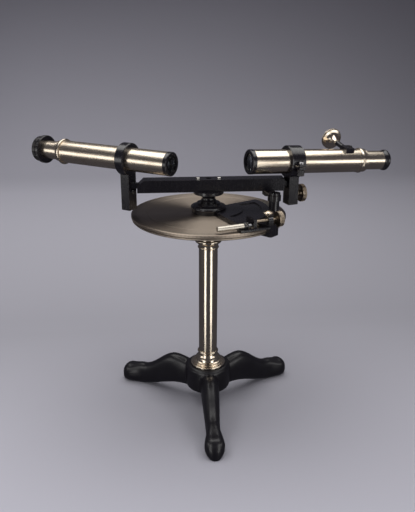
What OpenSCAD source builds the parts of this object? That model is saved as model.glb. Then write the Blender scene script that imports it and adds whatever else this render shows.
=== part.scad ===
// Optical goniometer: a divided circle on a pillar and iron tripod, with a turning
// beam that carries a collimator and a telescope. Millimetres, +Z up, +X along the beam
// towards the telescope. Origin: centre of the divided circle's top face, on the main axis.

/* [Stand] */
// Height of the divided circle's top face above the table
circle_height = 250.5; // [230:0.5:290]
// Distance from the main axis to the middle of each foot
foot_reach = 116; // [105:0.5:130]
// Width of a foot
foot_w = 21.2; // [18:0.1:24]
// Width of a leg at its neck
neck_w = 14.8; // [12:0.1:17]
// Width of a leg at its root
root_w = 21; // [18:0.1:24]
// Height of a leg's crest above the table
crest_h = 55.5; // [50:0.1:60]
// Height of a leg's neck above the table
neck_h = 25; // [20:0.1:30]
// Radius of the tripod's hub
boss_r = 27.6; // [25:0.1:30]
// Height of the hub's top above the table
boss_top = 53.7; // [50:0.1:58]
// Turn of the tripod about the main axis
tripod_turn = -91.2; // [-120:0.1:-60]

/* [Pillar] */
// Diameter of the pillar
pillar_d = 22.4; // [20:0.1:25]
// Wall of the pillar's tube
pillar_wall = 1.6; // [1:0.1:3]
// Radius of the brass foot flange
flange_r = 21.3; // [19:0.1:23]
// Diameter of the tie rod inside the pillar
rod_d = 8; // [6:0.1:10]

/* [Divided circle] */
// Radius of the divided circle
circle_r = 89; // [80:0.5:100]
// Thickness of the divided circle
circle_t = 6.6; // [5:0.1:9]
// Radius of the line inside the graduations
band_r = 71; // [65:0.5:74]
// Diameter of the fixed centre spindle
spindle_d = 12; // [10:0.1:14]
// Diameter of the socket in the spindle
socket_d = 6; // [4:0.1:8]

/* [Beam] */
// Width of the beam
beam_w = 18; // [15:0.1:20]
// Height of the beam
beam_h = 13.9; // [12:0.1:16]
// Height of the beam's underside above the circle
beam_z = 25.4; // [24:0.1:30]
// Distance from the main axis to the collimator's pivot
collimator_arm = 90.5; // [88:0.1:100]
// Distance from the main axis to the telescope's pivot
telescope_arm = 95.5; // [88:0.1:105]
// Radius of the black hub on the circle
hub_r = 20; // [18:0.1:22]

/* [Collimator] */
// Outer diameter of the collimator's tube
collimator_d = 25.8; // [24:0.1:27]
// Height of the collimator's axis above the circle
collimator_z = 62.55; // [60:0.05:68]
// Azimuth of the slit end seen from the collimator's pivot
collimator_turn = 145.8; // [130:0.1:165]
// Distance from the pivot to the lens end of the tube
collimator_front = 54; // [48:0.1:60]
// Distance from the pivot to the slit end of the tube
collimator_back = 90; // [84:0.1:100]
// Outer diameter of the slit's draw tube
slit_tube_d = 21; // [18:0.1:22]
// Distance from the pivot to the slit head
slit_head_at = 117.5; // [114:0.1:125]

/* [Telescope] */
// Outer diameter of the telescope's tube
telescope_d = 27.3; // [26:0.1:29]
// Height of the telescope's axis above the circle, at its ring
telescope_z = 57.3; // [56:0.05:62]
// Azimuth of the eyepiece end seen from the telescope's pivot
telescope_turn = 16.1; // [0:0.1:30]
// Droop of the eyepiece end
telescope_droop = 3.2; // [0:0.1:5]
// Turn of the tube in its ring
telescope_roll = 12; // [0:0.5:20]
// Distance from the pivot to the objective end
telescope_front = 54.8; // [48:0.1:60]
// Distance from the pivot to the end of the main tube
telescope_back = 89.3; // [88:0.1:96]
// Outer diameter of the draw tube
draw_d = 22.2; // [20:0.1:22.6]
// Distance from the pivot to the eyepiece cap
eyecap_at = 122; // [116:0.1:134]
// Distance from the pivot to the pinion
pinion_at = 69; // [66:0.1:70]
// Size of the focusing teeth, pitch divided by pi
tooth_m = 0.5; // [0.4:0.05:0.55]

/* [Fits] */
// Radial clearance of a running fit
run_fit = 0.05; // [0.02:0.01:0.1]
// Gap between faces that slide past each other
face_gap = 0.3; // [0.1:0.05:0.5]

/* [Hidden] */
$fn = 96;
eps = 0.01;

BRASS = "#c9b27a";
OLD_BRASS = "#a58f62";
BLACK = "#1c1b20";
STEEL = "#9a9a9e";
GLASS = "#cfe3ea";
SILVER = "#d9d2bd";

floor_z = -circle_height;
pillar_r = pillar_d / 2;
rod_r = rod_d / 2;
spindle_r = spindle_d / 2;
beam_top = beam_z + beam_h;

// ---------- shared shapes ----------

// A point list along an arc in the profile plane
function arc(cx, cy, r, a0, a1, n = 8) =
    [for (i = [0:n]) let (a = a0 + (a1 - a0) * i / n) [cx + r * cos(a), cy + r * sin(a)]];

// Smooth step from 0 to 1
function ease(t) = t <= 0 ? 0 : t >= 1 ? 1 : t * t * (3 - 2 * t);
function glide(x, a, va, b, vb) = va + (vb - va) * ease((x - a) / (b - a));

// A turned body about Z from its [radius, height] profile
module turned(profile) { rotate_extrude() polygon(profile); }

// A straight ring about Z
module ring(r_out, r_in, h) {
    difference() {
        cylinder(r = r_out, h = h);
        translate([0, 0, -1]) cylinder(r = r_in, h = h + 2);
    }
}

// Lay a body that was turned about Z along +X, starting at the station s
module along_x(s) { translate([s, 0, 0]) rotate([0, 90, 0]) children(); }

// A knurled disc about Z: straight flutes cut round the rim
module knurled(r, h, flutes, depth) {
    difference() {
        turned([[0, 0], [r - 0.6, 0], [r, 0.6], [r, h - 0.6], [r - 0.6, h], [0, h]]);
        for (i = [0:flutes - 1])
            rotate(i * 360 / flutes) translate([r + depth * 0.4, 0, -1])
                cylinder(r = depth, h = h + 2, $fn = 8);
    }
}

// A slotted screw head about Z
module slotted_head(r, h, slot) {
    difference() {
        turned([[0, 0], [r, 0], [r, h - 0.3], [r - 0.3, h], [0, h]]);
        translate([-r - 1, -slot / 2, h - 0.6]) cube([2 * r + 2, slot, 1]);
    }
}

// ---------- stand ----------

crest_r = 44;
neck_r = 95;
foot_h = 22;
arch_h = 18.5;
arch_r = 32;
foot_tip = foot_w / 2;
leg_start = 12;

// Outline of a leg at the distance r from the axis, before the rounded tip
function leg_top(r) = r < crest_r ? glide(r, leg_start, boss_top - 6, crest_r, crest_h)
    : r < neck_r ? glide(r, crest_r, crest_h, neck_r, neck_h)
    : glide(r, neck_r, neck_h, foot_reach, foot_h);
function leg_under(r) = glide(r, arch_r, arch_h, foot_reach - foot_tip, -1.2);
function leg_half(r) = r < neck_r ? glide(r, 34, root_w / 2, neck_r, neck_w / 2)
    : glide(r, neck_r, neck_w / 2, foot_reach, foot_w / 2);
// How far the section has drawn in over the rounded tip
function tip(r) = r <= foot_reach ? 1 : sqrt(max(0.0004, 1 - pow((r - foot_reach) / foot_tip, 2)));
function bulge(v) = sign(v) * pow(abs(v), 0.8);

leg_sides = 24;
leg_stations = concat([for (i = [0:15]) leg_start + (foot_reach - leg_start) * i / 15],
    [for (i = [1:7]) foot_reach + foot_tip * sin(90 * i / 7) * 0.9995]);

function leg_ring(r) = let (top = leg_top(r) * (0.35 + 0.65 * tip(r)), low = leg_under(r))
    [for (k = [0:leg_sides - 1]) let (a = 360 * k / leg_sides)
        [r, leg_half(r) * tip(r) * bulge(cos(a)),
            floor_z + (top + low) / 2 + (top - low) / 2 * bulge(sin(a))]];

module leg() {
    rings = [for (r = leg_stations) leg_ring(r)];
    n = leg_sides;
    last = len(rings) - 1;
    points = [for (ring_points = rings) for (p = ring_points) p];
    sides = [for (j = [0:last - 1]) for (k = [0:n - 1]) let (k2 = (k + 1) % n)
        [j * n + k2, j * n + k, (j + 1) * n + k2]];
    sides2 = [for (j = [0:last - 1]) for (k = [0:n - 1]) let (k2 = (k + 1) % n)
        [j * n + k, (j + 1) * n + k, (j + 1) * n + k2]];
    ends = [[for (k = [0:n - 1]) k], [for (k = [n - 1:-1:0]) last * n + k]];
    polyhedron(points = points, faces = concat(sides, sides2, ends), convexity = 4);
}

boss_low = 23.4;
nut_r = 9;
nut_h = 7;
nut_pocket_h = 9;
base_seat = boss_top - 2;

module tripod_base() {
    color(BLACK) difference() {
        union() {
            for (i = [0:2]) rotate(tripod_turn + 120 * i) leg();
            translate([0, 0, floor_z]) turned(concat([[0, boss_low], [boss_r - 4, boss_low]],
                arc(boss_r - 4, boss_low + 4, 4, -90, 0), [[boss_r, boss_top - 3.4]],
                arc(boss_r - 2, boss_top - 3.4, 2, 0, 90, 5),
                [[boss_r - 3, boss_top], [0, boss_top]]));
        }
        translate([0, 0, floor_z + boss_low - 1]) cylinder(r = rod_r + 0.1, h = 60);
        translate([0, 0, floor_z + boss_low - 1]) cylinder(r = nut_r + 1, h = nut_pocket_h + 1);
        translate([0, 0, floor_z + base_seat]) cylinder(r = flange_r - 4, h = 10);
        translate([0, 0, floor_z - 10]) cylinder(r = 2 * foot_reach, h = 10);
    }
}

foot_top = 77.3;
tube_seat = boss_top + 3;

module pillar_foot() {
    color(BRASS) translate([0, 0, floor_z]) difference() {
        turned(concat([[0, base_seat], [flange_r - 4.1, base_seat], [flange_r - 4.1, boss_top],
            [flange_r - 0.8, boss_top]], arc(flange_r - 0.8, boss_top + 1, 1, -90, 90, 8),
            [[flange_r - 2.2, boss_top + 2.3], [flange_r - 2.2, boss_top + 3.6],
            [flange_r - 4, boss_top + 4.1], [flange_r - 4, boss_top + 6]],
            [[pillar_r + 3.6, boss_top + 6.6]],
            arc(pillar_r + 10.2, boss_top + 16.2, 10, 225, 180, 8),
            [[pillar_r + 1.4, foot_top - 5.2]], arc(pillar_r + 0.3, foot_top - 3.6, 1.3, -40, 90, 8),
            [[0, foot_top - 2.2]]));
        translate([0, 0, tube_seat]) cylinder(r = pillar_r, h = 40);
        cylinder(r = rod_r + 0.1, h = 100);
    }
}

capital_low = -15.1;
capital_r = 15.2;
tube_top = capital_low + 3;

module pillar_tube() {
    tube_low = floor_z + tube_seat;
    color(BRASS) translate([0, 0, tube_low]) ring(pillar_r, pillar_r - pillar_wall, tube_top - tube_low);
}

module pillar_capital() {
    color(BRASS) difference() {
        turned(concat([[0, capital_low], [pillar_r + 0.9, capital_low]],
            arc(pillar_r + 0.9, capital_low + 0.8, 0.8, -90, 90, 6),
            [[pillar_r + 0.5, capital_low + 2], [capital_r, -circle_t - 1.6], [capital_r, -circle_t],
            [0, -circle_t]]));
        translate([0, 0, capital_low - 1]) cylinder(r = pillar_r, h = tube_top - capital_low + 1);
        translate([0, 0, capital_low - 2]) cylinder(r = rod_r + 0.1, h = 30);
        circle_screw_places() translate([0, 0, -circle_t - 5]) cylinder(r = 1.5, h = 10, $fn = 32);
    }
}

rod_top = -circle_t - 1;

module tie_rod() {
    rod_low = floor_z + boss_low + 1;
    color(STEEL) translate([0, 0, rod_low]) cylinder(r = rod_r, h = rod_top - rod_low);
}

module tie_rod_nut() {
    color(STEEL) translate([0, 0, floor_z + boss_low + nut_pocket_h - nut_h]) difference() {
        cylinder(r = nut_r, h = nut_h, $fn = 6);
        translate([0, 0, -1]) cylinder(r = rod_r, h = nut_h + 2);
    }
}

screw_pcd_r = 11;
module circle_screw_places() {
    for (i = [0:2]) rotate(30 + 120 * i) translate([screw_pcd_r, 0, 0]) children();
}

rim_groove = 1.2;
module divided_circle() {
    color(OLD_BRASS) difference() {
        turned([[0, -circle_t], [circle_r - 1.6, -circle_t], [circle_r - 0.8, 0.8 - circle_t],
            [circle_r - 0.8, 1.9 - circle_t], [circle_r - 0.8 - rim_groove, 2.3 - circle_t],
            [circle_r - 0.8 - rim_groove, 3.1 - circle_t], [circle_r, 3.5 - circle_t],
            [circle_r, -0.7], [circle_r - 0.7, 0], [band_r + 0.3, 0], [band_r, -0.3],
            [band_r - 0.3, 0], [0, 0]]);
        translate([0, 0, -circle_t - 1]) cylinder(r = spindle_r, h = circle_t + 2);
        circle_screw_places() {
            translate([0, 0, -circle_t - 1]) cylinder(r = 1.6, h = circle_t + 2, $fn = 32);
            translate([0, 0, -2.2]) cylinder(r = 3.1, h = 3);
        }
    }
}

module circle_screws() {
    color(STEEL) circle_screw_places() {
        translate([0, 0, -2.2]) slotted_head(3, 1.9, 0.8);
        translate([0, 0, -circle_t - 4.5]) cylinder(r = 1.5, h = circle_t + 2.4, $fn = 32);
    }
}

spindle_top = beam_z + 2;
module centre_spindle() {
    color(STEEL) difference() {
        translate([0, 0, -circle_t]) cylinder(r = spindle_r, h = spindle_top + circle_t);
        translate([0, 0, -circle_t + 2]) cylinder(r = socket_d / 2, h = 60);
    }
}

// ---------- turning beam ----------

hub_top = 11.8;
hub_foot_r = hub_r - 0.6;
flange_low = 21.8;
beam_mid = beam_z + beam_h / 2;
tongue_t = 6;
tongue_r = 4;
tongue_w = 6;
pin_r = 1.8;
post_clear = 9.6;

module vernier_hub() {
    color(BLACK) difference() {
        turned(concat([[0, face_gap], [hub_foot_r, face_gap], [hub_foot_r, face_gap + plate_t]],
            arc(hub_r - 1.6, 5.9, 2.3, -44, 68, 10),
            [[hub_r - 3.2, 9.1], [hub_r - 5.5, 9.6], [hub_r - 7, hub_top], [0, hub_top]]));
        cylinder(r = spindle_r + run_fit, h = 40);
        translate([0, 0, face_gap - 1]) cylinder(r = screw_pcd_r + 3.6, h = 1.3);
    }
}

module beam_flange() {
    color(BLACK) difference() {
        turned(concat([[0, hub_top], [9.5, hub_top], [9.5, hub_top + 1.2]],
            arc(11.2, 16.8, 3.4, 210, 150, 8), [[9.5, flange_low - 0.6], [16.8, flange_low],
            [17.3, flange_low + 0.5], [17.3, beam_z], [0, beam_z]]));
        cylinder(r = spindle_r + run_fit, h = 40);
        beam_screw_places() translate([0, 0, flange_low - 1]) cylinder(r = 1.5, h = 10, $fn = 32);
    }
}

beam_screw_x = 12;
module beam_screw_places() {
    for (side = [-1, 1]) translate([side * beam_screw_x, 0, 0]) children();
}

end_chamfer_w = 7;
end_chamfer_h = 6.8;

// One end of the beam along +X: the full bar up to the post, then the knuckle for the pivot
module beam_end(arm, cut_corner) {
    difference() {
        translate([0, -beam_w / 2, beam_z]) cube([arm - post_clear, beam_w, beam_h]);
        if (cut_corner) translate([arm - post_clear, 0, beam_top]) rotate([90, 0, 0])
            linear_extrude(height = beam_w + 2, center = true)
                polygon([[-end_chamfer_w, 0], [1, 1], [0, -end_chamfer_h]]);
    }
    translate([arm - post_clear - 2, -tongue_w / 2, beam_mid - tongue_t / 2])
        cube([post_clear + 2, tongue_w, tongue_t]);
    translate([arm, 0, beam_mid - tongue_t / 2]) cylinder(r = tongue_r, h = tongue_t);
}

washer_r = 7.6;
washer_h = 1.6;
module beam() {
    color(BLACK) difference() {
        union() {
            beam_end(telescope_arm, false);
            mirror([1, 0, 0]) beam_end(collimator_arm, true);
        }
        translate([0, 0, beam_z - 1]) cylinder(r = spindle_r + run_fit, h = 4);
        translate([0, 0, spindle_top]) cylinder(r = washer_r + face_gap, h = washer_h + face_gap);
        translate([0, 0, beam_z]) cylinder(r = socket_d / 2 + 0.3, h = 30);
        beam_screw_places() {
            translate([0, 0, beam_z - 1]) cylinder(r = 1.6, h = 30, $fn = 32);
        }
        for (x = [-collimator_arm, telescope_arm]) translate([x, 0, beam_z])
            cylinder(r = pin_r, h = 30);
        translate([reader_x, 0, beam_z - 1]) cylinder(r = reader_screw_r + run_fit, h = 9);
    }
}

module beam_screws() {
    color(STEEL) beam_screw_places() {
        translate([0, 0, beam_top]) slotted_head(2.5, 1.3, 0.7);
        translate([0, 0, flange_low + 0.5]) cylinder(r = 1.5, h = beam_top - flange_low, $fn = 32);
    }
}

// Flat washer that keeps the hub down on the spindle's end
module spindle_washer() {
    color(STEEL) translate([0, 0, spindle_top]) ring(washer_r, socket_d / 2 + 0.3, washer_h);
}

plate_from = -69;
plate_to = 30;
plate_t = 4;
plate_r = band_r - 0.8;
scale_r = 79;
scale_t = 2;

// A flat sector between two azimuths
module sector(r, a0, a1, h) {
    steps = 6;
    intersection() {
        cylinder(r = r, h = h);
        linear_extrude(height = h) polygon(concat([[0, 0]],
            [for (i = [0:steps]) let (a = a0 + (a1 - a0) * i / steps) 2 * r * [cos(a), sin(a)]]));
    }
}

module vernier_plate() {
    color(BLACK) difference() {
        translate([0, 0, face_gap]) sector(plate_r, plate_from, plate_to, plate_t);
        cylinder(r = hub_foot_r, h = 20);
        translate([0, 0, face_gap + plate_t - 1.2]) difference() {
            sector(plate_r - 9, plate_from + 9, plate_to - 9, 3);
            cylinder(r = 40, h = 3);
        }
    }
    color(BLACK) tangent_frame() translate([tongue_at, -tongue_out, face_gap])
        cube([tongue_along, tongue_out + tongue_lap, tongue_top - face_gap]);
}

module vernier_scale() {
    color(SILVER) translate([0, 0, face_gap]) difference() {
        sector(scale_r, plate_from + 14, plate_to - 4, scale_t);
        translate([0, 0, -1]) cylinder(r = plate_r, h = scale_t + 2);
    }
}

// ---------- rim clamp and tangent screw ----------

clamp_az = -47;
clamp_in = 77;
clamp_out = 95;
clamp_w = 15;
clamp_low = -9;
clamp_high = 4;
clamp_bevel = 1.7;
clamp_screw_x = 84.2;
clamp_screw_y = 0.9;
clamp_screw_r = 2;
shoe_r = 2.5;
shoe_t = 1.2;
shoe_pocket_h = 2.3;

tangent_turn = 18.4;
tangent_off = 81.7;
tangent_z = 8.5;
tangent_r = 1.6;
tangent_travel = 1.2;
tangent_knob_at = 43.2;
tangent_knob_r = 8.5;
tangent_knob_t = 5.4;
bearing_from = 33;
bearing_len = 5.5;
bearing_r = 2.9;
tongue_at = 15;
tongue_along = 3.5;
tongue_top = tangent_z + 2.5;
tongue_out = 3;
tongue_lap = 15;
barrel_z = 5.2;
barrel_from = -26;
barrel_to = 9.2;
barrel_r = 2.9;
barrel_bore = 1.7;
plunger_from = -2;
tip_gap = 0.2;

// Frame of the tangent screw: +X along the screw, +Y towards the main axis
module tangent_frame() { rotate(tangent_turn) translate([0, -tangent_off, 0]) children(); }

// Frame of the clamp block: +X away from the main axis
module clamp_frame() { rotate(clamp_az) children(); }

module clamp_block() {
    color(BLACK) difference() {
        union() {
            clamp_frame() translate([clamp_in, -clamp_w / 2, clamp_low]) difference() {
                cube([clamp_out - clamp_in, clamp_w, clamp_high - clamp_low]);
                for (y = [0, clamp_w]) translate([clamp_out - clamp_in, y, -1]) rotate(45)
                    cube([clamp_bevel * sqrt(2), clamp_bevel * sqrt(2), 80], center = true);
            }
            tangent_frame() {
                translate([bearing_from, -bearing_r, clamp_high - 1])
                    cube([bearing_len, 2 * bearing_r, tangent_z - clamp_high + 1]);
                translate([0, 0, tangent_z]) along_x(bearing_from) cylinder(r = bearing_r, h = bearing_len);
            }
        }
        translate([0, 0, -circle_t - face_gap])
            cylinder(r = circle_r + face_gap, h = circle_t + 2 * face_gap);
        translate([0, 0, clamp_low - 1])
            cylinder(r = circle_r - 8, h = -circle_t - face_gap - clamp_low + 1 + eps);
        translate([0, 0, -1]) cylinder(r = scale_r + face_gap, h = scale_t + 1 + 2 * face_gap);
        clamp_frame() translate([clamp_screw_x, clamp_screw_y, 0]) {
            cylinder(r = clamp_screw_r + run_fit, h = 20);
            cylinder(r = shoe_r + face_gap, h = shoe_pocket_h);
        }
        tangent_frame() translate([0, 0, tangent_z]) {
            along_x(bearing_from - 1) cylinder(r = tangent_r + run_fit, h = bearing_len + 2);
            along_x(tangent_knob_at - tangent_travel - face_gap)
                cylinder(r = tangent_knob_r + 2 * face_gap, h = 20);
        }
    }
}

module clamp_shoe() {
    color(BRASS) clamp_frame() translate([clamp_screw_x, clamp_screw_y, face_gap])
        cylinder(r = shoe_r, h = shoe_t);
}

clamp_head_z = 12.5;
module clamp_screw() {
    shank_low = face_gap + shoe_t + 0.05;
    color(BRASS) clamp_frame() translate([clamp_screw_x, clamp_screw_y, 0]) {
        translate([0, 0, shank_low]) cylinder(r = clamp_screw_r, h = clamp_head_z - shank_low + 1);
        translate([0, 0, clamp_head_z]) turned(concat([[0, 0], [2.6, 0], [3.1, 0.8], [5.5, 1.7]],
            arc(5.05, 2.6, 0.8, -30, 90, 6), [[2.6, 4.2], [0, 4.7]]));
    }
}

collar_t = 2.3;
// Bridge that ties the clamp block to the spring barrel, outside the tongue, with two collars
module clamp_bridge() {
    low = 0.6;
    high = 2.4;
    color(BLACK) difference() {
        tangent_frame() {
            translate([-2, -7.2, low]) cube([bearing_from + 2, 6.4 - tongue_out, high - low]);
            translate([-2, -4, low]) cube([barrel_to + 2, 6.5, high - low]);
            for (x = [barrel_to - 2 * collar_t - 0.5, barrel_to - collar_t])
                translate([0, 0, barrel_z]) along_x(x) knurled(barrel_r + 1, collar_t, 20, 0.3);
        }
        tangent_frame() translate([0, 0, barrel_z]) along_x(-30) cylinder(r = barrel_r, h = 60);
        clamp_frame() translate([clamp_in, -clamp_w / 2, clamp_low])
            cube([clamp_out - clamp_in, clamp_w, clamp_high - clamp_low]);
    }
}

module spring_barrel() {
    color(SILVER) tangent_frame() translate([0, 0, barrel_z]) along_x(barrel_from) difference() {
        turned([[0, 0], [barrel_r - 0.4, 0], [barrel_r, 0.4], [barrel_r, barrel_to - barrel_from],
            [0, barrel_to - barrel_from]]);
        translate([0, 0, 2]) cylinder(r = barrel_bore, h = 60);
    }
}

// Coil spring behind the plunger, drawn at its working length
spring_wire = 0.28;
spring_turns = 12;
spring_steps = 10;
module barrel_spring() {
    coil_r = barrel_bore - spring_wire - 0.1;
    from = barrel_from + 4.5;
    length = plunger_from - from - spring_wire;
    count = spring_turns * spring_steps;
    rings = [for (i = [0:count]) let (a = 360 * i / spring_steps, x = from + length * i / count)
        [for (k = [0:5]) let (b = 60 * k, r = coil_r + spring_wire * cos(b))
            [x + spring_wire * sin(b), r * cos(a), barrel_z + r * sin(a)]]];
    color(STEEL) tangent_frame() polyhedron(points = [for (g = rings) for (p = g) p],
        faces = concat([for (i = [0:count - 1]) for (k = [0:5]) let (k2 = (k + 1) % 6)
            [i * 6 + k, i * 6 + k2, (i + 1) * 6 + k2]],
            [for (i = [0:count - 1]) for (k = [0:5]) let (k2 = (k + 1) % 6)
            [i * 6 + k, (i + 1) * 6 + k2, (i + 1) * 6 + k]],
            [[5, 4, 3, 2, 1, 0], [for (k = [0:5]) count * 6 + k]]), convexity = 10);
}

module spring_plunger() {
    color(STEEL) tangent_frame() translate([0, 0, barrel_z]) along_x(plunger_from)
        turned([[0, 0], [barrel_bore - run_fit, 0], [barrel_bore - run_fit, 15],
            [0.9, tongue_at - tip_gap - plunger_from], [0, tongue_at - tip_gap - plunger_from]]);
}

module tangent_screw() {
    tip_at = tongue_at + tongue_along + tip_gap;
    color(BRASS) tangent_frame() translate([0, 0, tangent_z]) {
        along_x(tip_at) cylinder(r = tangent_r, h = tangent_knob_at - tip_at + 1);
        along_x(tangent_knob_at) {
            cylinder(r = 3, h = 1);
            translate([0, 0, 0.6]) knurled(tangent_knob_r, tangent_knob_t, 48, 0.35);
            turned([[0, tangent_knob_t], [3.4, tangent_knob_t], [3.4, tangent_knob_t + 1],
                [2.4, tangent_knob_t + 1.8], [0, tangent_knob_t + 2.2]]);
        }
    }
}

// ---------- reading magnifier ----------

reader_x = 69;
reader_dx = 2;
reader_dy = -27.5;
reader_low = 6;
reader_high = 28;
reader_r = 5.8;
reader_screw_r = 1.9;
bracket_t = 1.9;

module reader_place() { translate([reader_x + reader_dx, reader_dy, 0]) children(); }

module reader_bracket() {
    top = beam_z - 0.1;
    color(BLACK) difference() {
        union() {
            translate([0, 0, top - bracket_t]) linear_extrude(height = bracket_t) hull() {
                translate([reader_x, 0]) circle(r = 6, $fn = 48);
                translate([reader_x + reader_dx, reader_dy]) circle(r = 4, $fn = 48);
            }
            reader_place() translate([0, 0, top - 6]) cylinder(r = reader_r + 1.6, h = 6);
        }
        reader_place() cylinder(r = reader_r, h = 40);
        translate([reader_x, 0, 0]) cylinder(r = reader_screw_r + run_fit, h = 40);
    }
}

module reader_thumb_screw() {
    top = beam_z - 0.1 - bracket_t - 0.1;
    color(BLACK) translate([reader_x, 0, top - 5.4]) {
        turned([[0, 0], [4.6, 0], [4.6, 1.2], [3.4, 1.6], [0, 1.6]]);
        translate([0, 0, 1.4]) knurled(6.8, 4, 30, 0.35);
        cylinder(r = reader_screw_r, h = 13);
    }
}

module reader_tube() {
    color(BLACK) reader_place() difference() {
        turned([[0, reader_low], [reader_r - 1, reader_low], [reader_r, reader_low + 1],
            [reader_r, reader_high - 2.4], [reader_r + 0.8, reader_high - 2],
            [reader_r + 0.8, reader_high], [0, reader_high]]);
        translate([0, 0, reader_low - 1]) cylinder(r = 3.8, h = 40);
        translate([0, 0, reader_high - 4]) cylinder(r = 4.6, h = 10);
    }
}

// A lens about Z: two shallow domes on a cylindrical edge, seated at height 0
module lens(r, edge, crown) {
    ball = (r * r + crown * crown) / (2 * crown);
    half = asin(r / ball);
    turned(concat([[0, -crown]], arc(0, ball - crown, ball, -90 + half / 6, -90 + half, 5),
        arc(0, edge + crown - ball, ball, 90 - half, 90 - half / 6, 5), [[0, edge + crown]]));
}

module reader_lens() {
    color(GLASS) reader_place() translate([0, 0, reader_high - 4 + 0.9]) lens(4.6, 1.2, 0.9);
}

// ---------- collimator ----------

collimator_r = collimator_d / 2;
collimator_wall = 1.2;
ring_r = 18;
slit_tube_r = slit_tube_d / 2;
post_gap = 0.1;
slot_swing = 36;
collimator_ring_w = 11;
collimator_post = [11, 14];
collimator_post_low = 5.2;
telescope_ring_w = 17;
telescope_post = [12, 14];
telescope_post_low = 8;
lug_out = 7.6;
lug_w = 8.4;
lug_low = -5;
lug_top = 1;

// Frame of the collimator: +X towards the slit, origin on the pivot at the tube's axis
module collimator_frame() {
    translate([-collimator_arm, 0, collimator_z]) rotate(collimator_turn) children();
}

// Post with a slot that clears the beam's knuckle, which lies towards beam_az, over the swivel
module post(size, low, high, axis_z, beam_az) {
    mid = beam_mid - axis_z;
    side = tongue_w / 2 + face_gap;
    reach = 30 * [cos(slot_swing), sin(slot_swing)];
    edge = side * [-sin(slot_swing), cos(slot_swing)];
    difference() {
        translate([-size[0] / 2, -size[1] / 2, low - axis_z])
            cube([size[0], size[1], high - low]);
        translate([0, 0, mid - tongue_t / 2 - post_gap]) {
            cylinder(r = tongue_r + face_gap, h = tongue_t + 2 * post_gap);
            rotate(beam_az) linear_extrude(height = tongue_t + 2 * post_gap)
                polygon([edge, edge + reach, [edge[0] + reach[0], -edge[1] - reach[1]],
                    [edge[0], -edge[1]]]);
        }
    }
}

// Ring about X with bevelled edges, still solid
module ring_blank(width) {
    along_x(-width / 2) turned([[0, 0], [ring_r - 0.8, 0], [ring_r, 0.8],
        [ring_r, width - 0.8], [ring_r - 0.8, width], [0, width]]);
}

lug_screw_y = -ring_r - 3.6;
lug_screw_r = 2;
lug_nut_t = 2.4;
split_z = -1.8;
pin_top = 42;
pin_rise = 1.5;

// Blind bore for the pivot pin, open below the post
module pin_bore(low, axis_z) {
    translate([0, 0, low - axis_z - 1]) cylinder(r = pin_r + run_fit, h = pin_top + 1.2 - low);
}

module pivot_pin(low) {
    color(STEEL) translate([0, 0, low + pin_rise]) cylinder(r = pin_r, h = pin_top - low - pin_rise);
}

module collimator_bracket() {
    color(BLACK) collimator_frame() difference() {
        union() {
            post(collimator_post, collimator_post_low, collimator_z - 13.4, collimator_z,
                -collimator_turn);
            ring_blank(collimator_ring_w);
        }
        along_x(-20) cylinder(r = collimator_r, h = 40);
        pin_bore(collimator_post_low, collimator_z);
        set_screw_place() cylinder(r = set_screw_r + run_fit, h = 20, $fn = 32);
    }
}

module collimator_pivot_pin() { translate([-collimator_arm, 0, 0]) pivot_pin(collimator_post_low); }

set_screw_z = 25.5;
set_screw_r = 1.3;
// Set screw in the post's face that looks back along the beam, along the screw's own axis
module set_screw_place() {
    translate([-pin_r - 0.1, 0, set_screw_z - collimator_z]) rotate([0, -90, 0]) children();
}

module collimator_set_screw() {
    out = collimator_post[0] / 2 - pin_r - 0.1;
    color(STEEL) collimator_frame() set_screw_place() {
        cylinder(r = set_screw_r, h = out + 0.1, $fn = 32);
        translate([0, 0, out]) slotted_head(2.2, 1.2, 0.6);
    }
}

module collimator_tube() {
    color(BRASS) collimator_frame() along_x(-collimator_front)
        ring(collimator_r, collimator_r - collimator_wall, collimator_front + collimator_back);
}

cell_len = 4.4;
spigot_len = 7;
// Lens cell about Z: rim in front of the tube, spigot inside it, seat for the lens
module lens_cell(tube_r, wall, rim_r) {
    bore = tube_r - wall;
    difference() {
        turned([[0, 0], [rim_r - 0.6, 0], [rim_r, 0.6], [rim_r, cell_len], [bore, cell_len],
            [bore, cell_len + spigot_len], [0, cell_len + spigot_len]]);
        translate([0, 0, 1.6]) cylinder(r = bore - 0.9, h = 40);
        translate([0, 0, -1]) cylinder(r = bore - 2.2, h = 40);
    }
}

module collimator_lens_cell() {
    color(BLACK) collimator_frame() along_x(-collimator_front - cell_len)
        lens_cell(collimator_r, collimator_wall, collimator_r + 0.2);
}

module collimator_lens() {
    color(GLASS) collimator_frame() along_x(-collimator_front - cell_len + 1.6 + eps)
        lens_seated(collimator_r - collimator_wall - 0.9);
}

// Lens whose front edge stands on its seat, with its front dome inside the seat's bore
module lens_seated(r) {
    difference() {
        lens(r, 3, 1.1);
        translate([0, 0, -10]) ring(r + 1, r - 1.25, 10);
    }
}

module collimator_collar() {
    seat = collimator_back;
    color(BRASS) collimator_frame() difference() {
        along_x(seat - 1.6) turned(concat([[0, 0], [collimator_r + 0.5, 0]],
            arc(collimator_r + 0.6, 1.45, 1.45, -80, 90, 8),
            [[collimator_r + 0.2, 3.1]], arc(collimator_r - 6.6, 3.1, 6.8, 0, 35, 6),
            [[slit_tube_r + 1.3, 9.5], [slit_tube_r + 1.3, 10.1], [0, 10.1]]));
        along_x(seat - 5) cylinder(r = collimator_r, h = 5);
        along_x(seat - 1) cylinder(r = slit_tube_r + run_fit, h = 40);
    }
}

slit_tube_in = 62;
slit_wall = 1.2;
module slit_tube() {
    color(BRASS) collimator_frame() along_x(slit_tube_in)
        ring(slit_tube_r, slit_tube_r - slit_wall, slit_head_at + 2 - slit_tube_in);
}

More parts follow.
